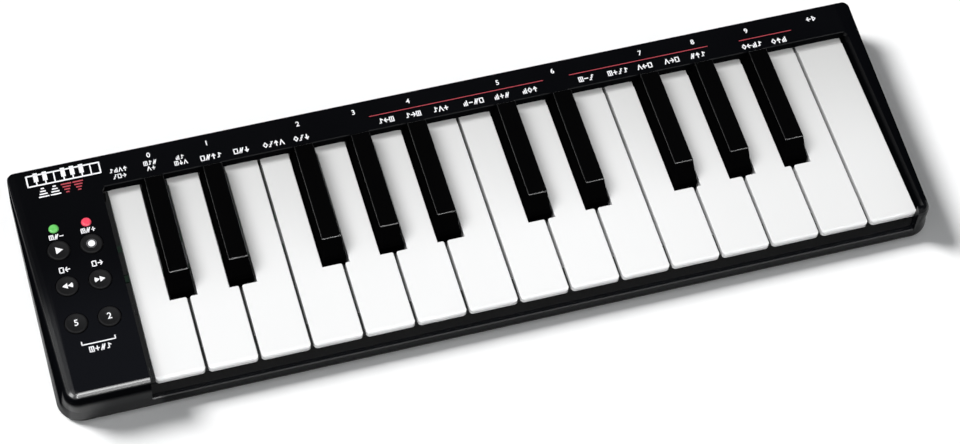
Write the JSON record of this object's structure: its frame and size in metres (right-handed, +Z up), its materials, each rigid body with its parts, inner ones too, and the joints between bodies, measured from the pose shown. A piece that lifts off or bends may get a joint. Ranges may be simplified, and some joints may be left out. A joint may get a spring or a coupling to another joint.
{
  "type": "midi keyboard",
  "caption": "Slim desktop midi keyboard with mini piano keys on sprung hinges, round control buttons and two lamps in a black case.",
  "frame": {"origin": "middle of the footprint, on the table under the rubber feet", "axes": "+X from low to high notes, +Y to the rear where the socket is, +Z up"},
  "size_m": [0.335, 0.0996, 0.0205],
  "materials": {
    "case_black": "satin black moulding",
    "base_black": "fine matt black moulding",
    "key_white": "polished white",
    "key_black": "polished black",
    "button_rubber": "soft matt black",
    "green_lens": "tinted clear green, lit",
    "red_lens": "tinted clear red, lit",
    "circuit_board": "green solder mask",
    "switch_body": "matt",
    "chip": "matt",
    "led_chip": "clear moulding",
    "ribbon": "satin",
    "chassis_plastic": "matt",
    "rod_steel": "drawn steel",
    "silicone": "matt silicone",
    "felt": "dense felt",
    "socket_steel": "plated",
    "tongue_plastic": "matt",
    "screw_steel": "black zinc",
    "foot_rubber": "matt rubber"
  },
  "bodies": {
    "case": {"top_case": "case_black", "bottom_case": "base_black", "green_lamp": "green_lens", "red_lamp": "red_lens", "control_board": "circuit_board", "button_switches": "switch_body", "main_chip": "chip", "lamp_chips": "led_chip", "board_ribbon": "ribbon", "keybed_frame": "chassis_plastic", "key_pivot_rod": "rod_steel", "key_contact_board": "circuit_board", "key_contact_strip": "silicone", "front_stop_felt": "felt", "black_stop_felt": "felt", "heel_felt": "felt", "usb_socket": "socket_steel", "usb_tongue": "tongue_plastic", "case_screws": "screw_steel", "board_screws": "screw_steel", "chassis_screws": "screw_steel", "rubber_feet": "foot_rubber"},
    "white_key_01": {"white_key_01": "key_white"},
    "white_key_02": {"white_key_02": "key_white"},
    "white_key_03": {"white_key_03": "key_white"},
    "white_key_04": {"white_key_04": "key_white"},
    "white_key_05": {"white_key_05": "key_white"},
    "white_key_06": {"white_key_06": "key_white"},
    "white_key_07": {"white_key_07": "key_white"},
    "white_key_08": {"white_key_08": "key_white"},
    "white_key_09": {"white_key_09": "key_white"},
    "white_key_10": {"white_key_10": "key_white"},
    "white_key_11": {"white_key_11": "key_white"},
    "white_key_12": {"white_key_12": "key_white"},
    "white_key_13": {"white_key_13": "key_white"},
    "white_key_14": {"white_key_14": "key_white"},
    "white_key_15": {"white_key_15": "key_white"},
    "black_key_01": {"black_key_01": "key_black"},
    "black_key_02": {"black_key_02": "key_black"},
    "black_key_03": {"black_key_03": "key_black"},
    "black_key_04": {"black_key_04": "key_black"},
    "black_key_05": {"black_key_05": "key_black"},
    "black_key_06": {"black_key_06": "key_black"},
    "black_key_07": {"black_key_07": "key_black"},
    "black_key_08": {"black_key_08": "key_black"},
    "black_key_09": {"black_key_09": "key_black"},
    "black_key_10": {"black_key_10": "key_black"},
    "play_button": {"play_button": "button_rubber"},
    "record_button": {"record_button": "button_rubber"},
    "rewind_button": {"rewind_button": "button_rubber"},
    "forward_button": {"forward_button": "button_rubber"},
    "setup_button_1": {"setup_button_1": "button_rubber"},
    "setup_button_2": {"setup_button_2": "button_rubber"}
  },
  "joints": [
    {"name": "white_key_01_press", "type": "hinge", "parent": "case", "child": "white_key_01", "pos_m": [0, 0.041, 0.0085], "axis": [1, 0, 0], "range_deg": [0, 2.4], "stiffness_Nm_per_rad": 0.6, "springref_deg": -3.44},
    {"name": "white_key_02_press", "type": "hinge", "parent": "case", "child": "white_key_02", "pos_m": [0, 0.041, 0.0085], "axis": [1, 0, 0], "range_deg": [0, 2.4], "stiffness_Nm_per_rad": 0.6, "springref_deg": -3.44},
    {"name": "white_key_03_press", "type": "hinge", "parent": "case", "child": "white_key_03", "pos_m": [0, 0.041, 0.0085], "axis": [1, 0, 0], "range_deg": [0, 2.4], "stiffness_Nm_per_rad": 0.6, "springref_deg": -3.44},
    {"name": "white_key_04_press", "type": "hinge", "parent": "case", "child": "white_key_04", "pos_m": [0, 0.041, 0.0085], "axis": [1, 0, 0], "range_deg": [0, 2.4], "stiffness_Nm_per_rad": 0.6, "springref_deg": -3.44},
    {"name": "white_key_05_press", "type": "hinge", "parent": "case", "child": "white_key_05", "pos_m": [0, 0.041, 0.0085], "axis": [1, 0, 0], "range_deg": [0, 2.4], "stiffness_Nm_per_rad": 0.6, "springref_deg": -3.44},
    {"name": "white_key_06_press", "type": "hinge", "parent": "case", "child": "white_key_06", "pos_m": [0, 0.041, 0.0085], "axis": [1, 0, 0], "range_deg": [0, 2.4], "stiffness_Nm_per_rad": 0.6, "springref_deg": -3.44},
    {"name": "white_key_07_press", "type": "hinge", "parent": "case", "child": "white_key_07", "pos_m": [0, 0.041, 0.0085], "axis": [1, 0, 0], "range_deg": [0, 2.4], "stiffness_Nm_per_rad": 0.6, "springref_deg": -3.44},
    {"name": "white_key_08_press", "type": "hinge", "parent": "case", "child": "white_key_08", "pos_m": [0, 0.041, 0.0085], "axis": [1, 0, 0], "range_deg": [0, 2.4], "stiffness_Nm_per_rad": 0.6, "springref_deg": -3.44},
    {"name": "white_key_09_press", "type": "hinge", "parent": "case", "child": "white_key_09", "pos_m": [0, 0.041, 0.0085], "axis": [1, 0, 0], "range_deg": [0, 2.4], "stiffness_Nm_per_rad": 0.6, "springref_deg": -3.44},
    {"name": "white_key_10_press", "type": "hinge", "parent": "case", "child": "white_key_10", "pos_m": [0, 0.041, 0.0085], "axis": [1, 0, 0], "range_deg": [0, 2.4], "stiffness_Nm_per_rad": 0.6, "springref_deg": -3.44},
    {"name": "white_key_11_press", "type": "hinge", "parent": "case", "child": "white_key_11", "pos_m": [0, 0.041, 0.0085], "axis": [1, 0, 0], "range_deg": [0, 2.4], "stiffness_Nm_per_rad": 0.6, "springref_deg": -3.44},
    {"name": "white_key_12_press", "type": "hinge", "parent": "case", "child": "white_key_12", "pos_m": [0, 0.041, 0.0085], "axis": [1, 0, 0], "range_deg": [0, 2.4], "stiffness_Nm_per_rad": 0.6, "springref_deg": -3.44},
    {"name": "white_key_13_press", "type": "hinge", "parent": "case", "child": "white_key_13", "pos_m": [0, 0.041, 0.0085], "axis": [1, 0, 0], "range_deg": [0, 2.4], "stiffness_Nm_per_rad": 0.6, "springref_deg": -3.44},
    {"name": "white_key_14_press", "type": "hinge", "parent": "case", "child": "white_key_14", "pos_m": [0, 0.041, 0.0085], "axis": [1, 0, 0], "range_deg": [0, 2.4], "stiffness_Nm_per_rad": 0.6, "springref_deg": -3.44},
    {"name": "white_key_15_press", "type": "hinge", "parent": "case", "child": "white_key_15", "pos_m": [0, 0.041, 0.0085], "axis": [1, 0, 0], "range_deg": [0, 2.4], "stiffness_Nm_per_rad": 0.6, "springref_deg": -3.44},
    {"name": "black_key_01_press", "type": "hinge", "parent": "case", "child": "black_key_01", "pos_m": [0, 0.041, 0.0085], "axis": [1, 0, 0], "range_deg": [0, 2.8], "stiffness_Nm_per_rad": 0.6, "springref_deg": -3.44},
    {"name": "black_key_02_press", "type": "hinge", "parent": "case", "child": "black_key_02", "pos_m": [0, 0.041, 0.0085], "axis": [1, 0, 0], "range_deg": [0, 2.8], "stiffness_Nm_per_rad": 0.6, "springref_deg": -3.44},
    {"name": "black_key_03_press", "type": "hinge", "parent": "case", "child": "black_key_03", "pos_m": [0, 0.041, 0.0085], "axis": [1, 0, 0], "range_deg": [0, 2.8], "stiffness_Nm_per_rad": 0.6, "springref_deg": -3.44},
    {"name": "black_key_04_press", "type": "hinge", "parent": "case", "child": "black_key_04", "pos_m": [0, 0.041, 0.0085], "axis": [1, 0, 0], "range_deg": [0, 2.8], "stiffness_Nm_per_rad": 0.6, "springref_deg": -3.44},
    {"name": "black_key_05_press", "type": "hinge", "parent": "case", "child": "black_key_05", "pos_m": [0, 0.041, 0.0085], "axis": [1, 0, 0], "range_deg": [0, 2.8], "stiffness_Nm_per_rad": 0.6, "springref_deg": -3.44},
    {"name": "black_key_06_press", "type": "hinge", "parent": "case", "child": "black_key_06", "pos_m": [0, 0.041, 0.0085], "axis": [1, 0, 0], "range_deg": [0, 2.8], "stiffness_Nm_per_rad": 0.6, "springref_deg": -3.44},
    {"name": "black_key_07_press", "type": "hinge", "parent": "case", "child": "black_key_07", "pos_m": [0, 0.041, 0.0085], "axis": [1, 0, 0], "range_deg": [0, 2.8], "stiffness_Nm_per_rad": 0.6, "springref_deg": -3.44},
    {"name": "black_key_08_press", "type": "hinge", "parent": "case", "child": "black_key_08", "pos_m": [0, 0.041, 0.0085], "axis": [1, 0, 0], "range_deg": [0, 2.8], "stiffness_Nm_per_rad": 0.6, "springref_deg": -3.44},
    {"name": "black_key_09_press", "type": "hinge", "parent": "case", "child": "black_key_09", "pos_m": [0, 0.041, 0.0085], "axis": [1, 0, 0], "range_deg": [0, 2.8], "stiffness_Nm_per_rad": 0.6, "springref_deg": -3.44},
    {"name": "black_key_10_press", "type": "hinge", "parent": "case", "child": "black_key_10", "pos_m": [0, 0.041, 0.0085], "axis": [1, 0, 0], "range_deg": [0, 2.8], "stiffness_Nm_per_rad": 0.6, "springref_deg": -3.44},
    {"name": "play_button_press", "type": "slide", "parent": "case", "child": "play_button", "axis": [0, 0, -1], "range_m": [0, 0.0005], "stiffness_N_per_m": 900, "springref_m": -0.001},
    {"name": "record_button_press", "type": "slide", "parent": "case", "child": "record_button", "axis": [0, 0, -1], "range_m": [0, 0.0005], "stiffness_N_per_m": 900, "springref_m": -0.001},
    {"name": "rewind_button_press", "type": "slide", "parent": "case", "child": "rewind_button", "axis": [0, 0, -1], "range_m": [0, 0.0005], "stiffness_N_per_m": 900, "springref_m": -0.001},
    {"name": "forward_button_press", "type": "slide", "parent": "case", "child": "forward_button", "axis": [0, 0, -1], "range_m": [0, 0.0005], "stiffness_N_per_m": 900, "springref_m": -0.001},
    {"name": "setup_button_1_press", "type": "slide", "parent": "case", "child": "setup_button_1", "axis": [0, 0, -1], "range_m": [0, 0.0005], "stiffness_N_per_m": 900, "springref_m": -0.001},
    {"name": "setup_button_2_press", "type": "slide", "parent": "case", "child": "setup_button_2", "axis": [0, 0, -1], "range_m": [0, 0.0005], "stiffness_N_per_m": 900, "springref_m": -0.001}
  ]
}
